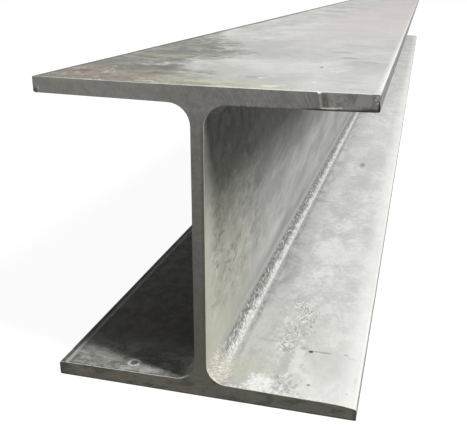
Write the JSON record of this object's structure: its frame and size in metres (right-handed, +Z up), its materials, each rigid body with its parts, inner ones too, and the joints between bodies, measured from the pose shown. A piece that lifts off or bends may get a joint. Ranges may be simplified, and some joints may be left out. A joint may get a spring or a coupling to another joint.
{
  "type": "steel h-beam",
  "caption": "Hot-rolled steel H-beam with a 200 mm square section, sawn square at both ends to a 3 m stock length.",
  "frame": {"origin": "middle of the bottom flange's underside, half way along the beam", "axes": "+X across the flanges, +Y along the beam, +Z up through the web; the -Y end has the saw's lip at the top flange's +X tip"},
  "size_m": [0.2, 3, 0.2],
  "materials": {
    "steel": "bare pickled mill surface, matt, with light grey mottling and water stains"
  },
  "bodies": {
    "root": {"h_beam": "steel"}
  },
  "joints": []
}
